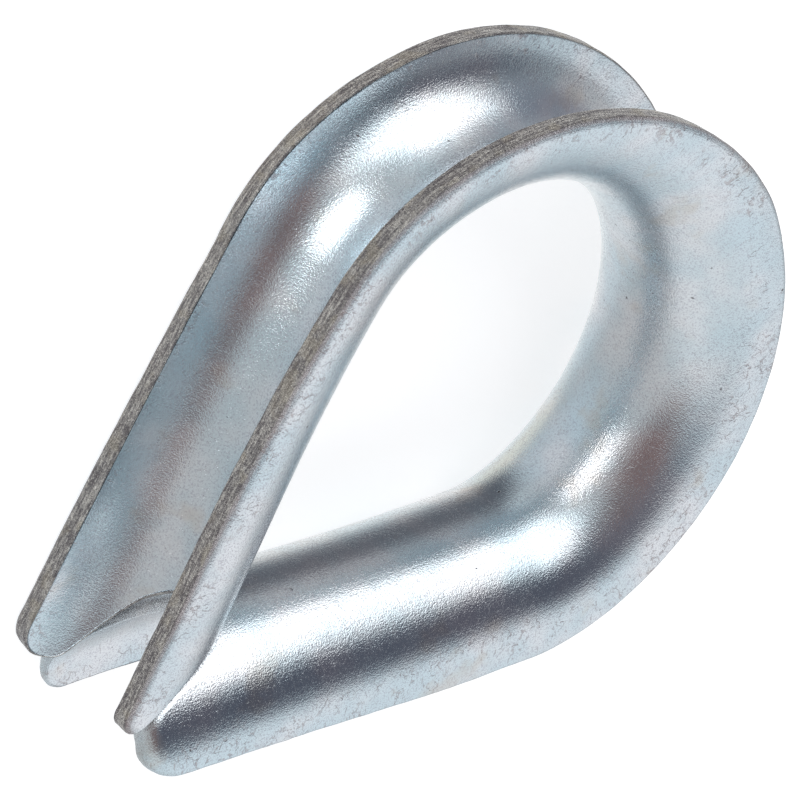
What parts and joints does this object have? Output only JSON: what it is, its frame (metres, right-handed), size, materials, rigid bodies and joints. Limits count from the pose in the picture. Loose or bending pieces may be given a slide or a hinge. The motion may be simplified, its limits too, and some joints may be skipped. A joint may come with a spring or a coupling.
{
  "type": "wire rope thimble",
  "caption": "Teardrop thimble of U-section zinc-plated steel strip that lines and protects the eye of a wire rope.",
  "frame": {"origin": "centre of the crown arc of the eye, halfway across the strip", "axes": "+Z along the axis of a pin through the eye, +X towards the crown, so the two tips lie towards -X, and +Y across the eye"},
  "size_m": [0.0513, 0.0392, 0.0124],
  "materials": {
    "zinc_plated_steel": "bright zinc plate over pressed steel, satin, with bare grey sheared edges"
  },
  "bodies": {
    "root": {"thimble": "zinc_plated_steel"}
  },
  "joints": []
}
